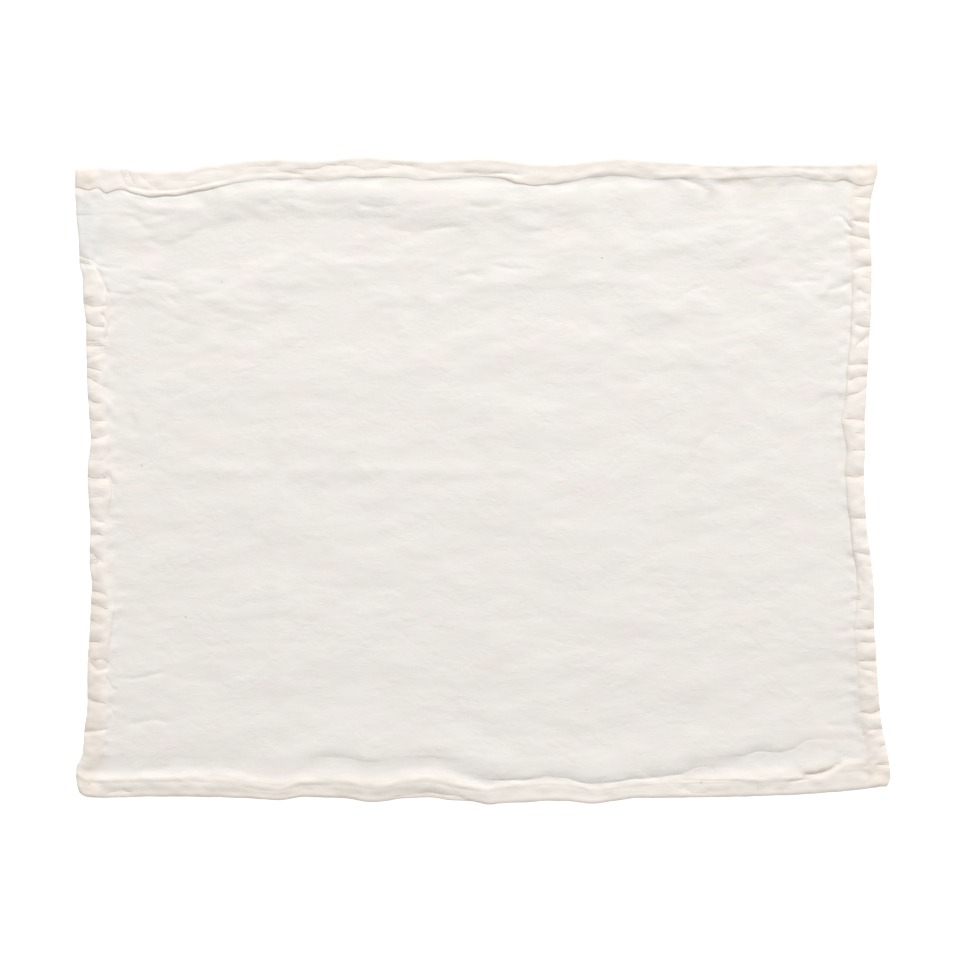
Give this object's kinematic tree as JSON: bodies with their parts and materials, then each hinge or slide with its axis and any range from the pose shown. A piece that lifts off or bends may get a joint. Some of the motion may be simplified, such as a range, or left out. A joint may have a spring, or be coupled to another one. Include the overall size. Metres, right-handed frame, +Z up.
{
  "type": "fabric placemat",
  "caption": "Rectangular washed linen placemat that lies flat, with folded and sewn hems, thick corner squares, puckered side edges and a soft ridge beside the long hems.",
  "frame": {"origin": "under the middle of the cloth's outline, on the surface that it rests on", "axes": "+X along the long sides, +Y along the short sides, +Z up, away from the surface"},
  "size_m": [0.509, 0.4056, 0.0046],
  "materials": {
    "washed_linen": "matt, soft, crinkled plain weave with slubs"
  },
  "bodies": {
    "root": {"placemat_cloth": "washed_linen"}
  },
  "joints": []
}
